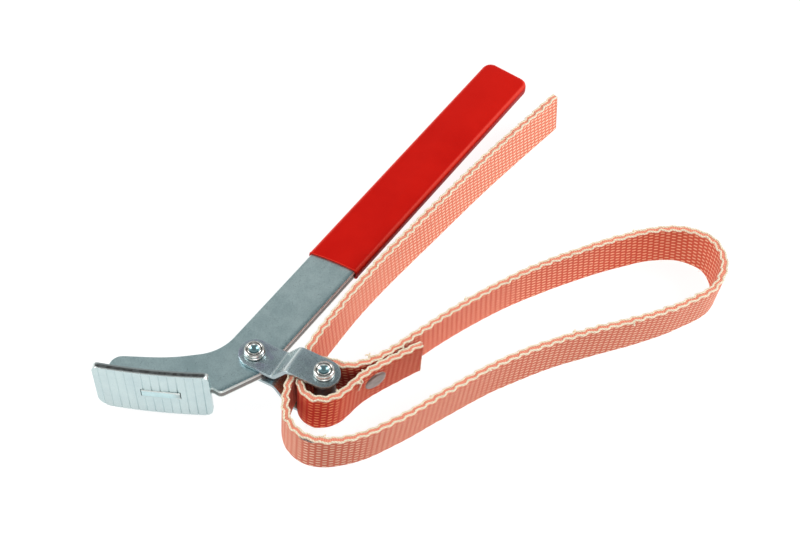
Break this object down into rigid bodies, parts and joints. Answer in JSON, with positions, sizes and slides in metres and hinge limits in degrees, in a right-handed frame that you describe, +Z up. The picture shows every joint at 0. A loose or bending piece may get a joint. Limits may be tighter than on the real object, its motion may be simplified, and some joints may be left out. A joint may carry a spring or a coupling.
{
  "type": "oil filter wrench",
  "caption": "Strap-type oil filter wrench: flat lever with dipped grip and grooved heel pad, pivoting joggled links, and a looped webbing strap with a free tail.",
  "frame": {"origin": "centre of the box's underside, on the surface that the wrench lies on", "axes": "+X along the handle towards the grip's end, +Y across the lever towards the heel pad's side, +Z up out of the lever's flat"},
  "size_m": [0.2744, 0.2104, 0.0376],
  "materials": {
    "zinc_plate": "satin zinc plate",
    "zinc_heel": "bright zinc plate",
    "zinc_link": "satin zinc plate with a faint blue tint",
    "bright_steel": "polished steel",
    "dull_steel": "plain tube steel",
    "rivet_steel": "pressed steel",
    "red_pvc": "satin dipped coating",
    "webbing": "woven webbing"
  },
  "bodies": {
    "handle": {"lever_plate": "zinc_plate", "grip_sleeve": "red_pvc", "heel_pad": "zinc_heel"},
    "shackle": {"upper_link": "zinc_link", "lower_link": "zinc_link", "pivot_pin": "bright_steel", "pivot_pin_collar_upper": "bright_steel", "pivot_pin_collar_lower": "bright_steel", "strap_pin": "bright_steel", "strap_pin_collar_upper": "bright_steel", "strap_pin_collar_lower": "bright_steel", "spacer_sleeve": "dull_steel", "strap_throat": "webbing"},
    "strap_loop": {"strap_short_end": "webbing", "strap_eye": "webbing", "strap_back_run": "webbing", "strap_far_turn": "webbing", "strap_front_run": "webbing", "strap_near_turn": "webbing", "strap_rivet": "rivet_steel", "rivet_washer": "rivet_steel"},
    "free_tail": {"strap_tail": "webbing"}
  },
  "joints": [
    {"name": "shackle_pivot", "type": "hinge", "parent": "handle", "child": "shackle", "pos_m": [-0.08158, 0.05234, 0.0188], "axis": [0, 0, 1], "range_deg": [-45, 1]},
    {"name": "strap_swing", "type": "hinge", "parent": "shackle", "child": "strap_loop", "pos_m": [-0.07701, 0.01451, 0.0188], "axis": [0, 0, 1], "range_deg": [-6, 14], "deforming": ["strap_throat"]},
    {"name": "tail_flex", "type": "hinge", "parent": "shackle", "child": "free_tail", "pos_m": [-0.06308, 0.03104, 0.0188], "axis": [0, 0, 1], "range_deg": [-12, 2]}
  ]
}
